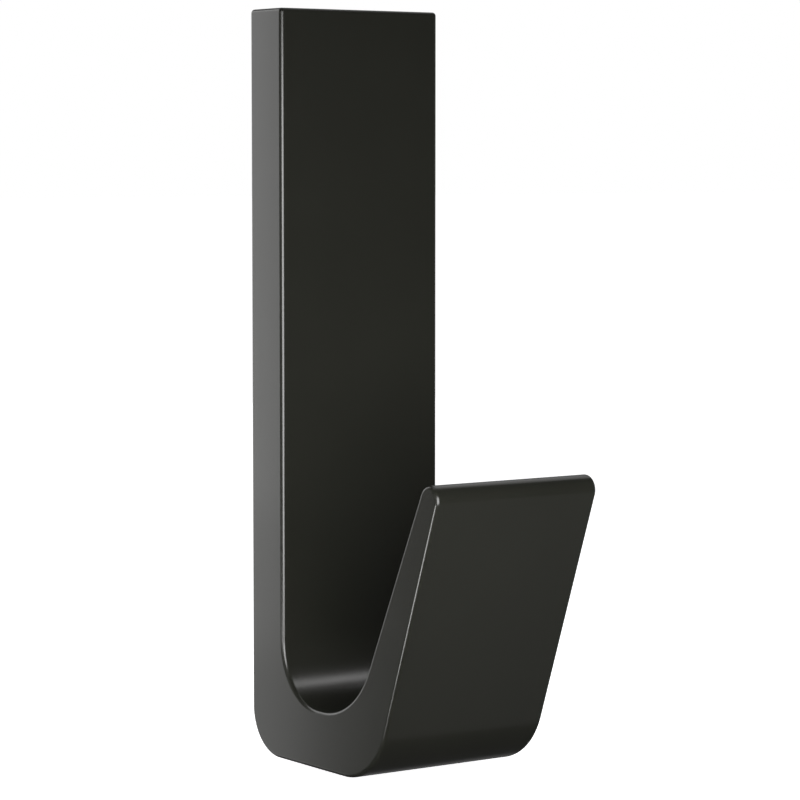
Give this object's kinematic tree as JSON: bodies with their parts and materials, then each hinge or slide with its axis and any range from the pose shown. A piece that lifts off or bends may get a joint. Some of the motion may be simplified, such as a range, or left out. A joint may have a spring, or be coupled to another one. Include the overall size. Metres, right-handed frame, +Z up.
{
  "type": "adhesive hook",
  "caption": "J-shaped wall hook of constant width with a tall flat back plate, a round-bottomed throat, a tapering arm that leans outward, and an adhesive pad on its flat back.",
  "frame": {"origin": "middle of the adhesive pad's wall side", "axes": "+Z up along the plate, +Y into the wall, +X along the hook's width; the arm stands out towards -Y"},
  "size_m": [0.02, 0.0347, 0.0792],
  "materials": {
    "black_coating": "satin",
    "foam_tape": "matte"
  },
  "bodies": {
    "root": {"hook_body": "black_coating", "adhesive_pad": "foam_tape"}
  },
  "joints": []
}
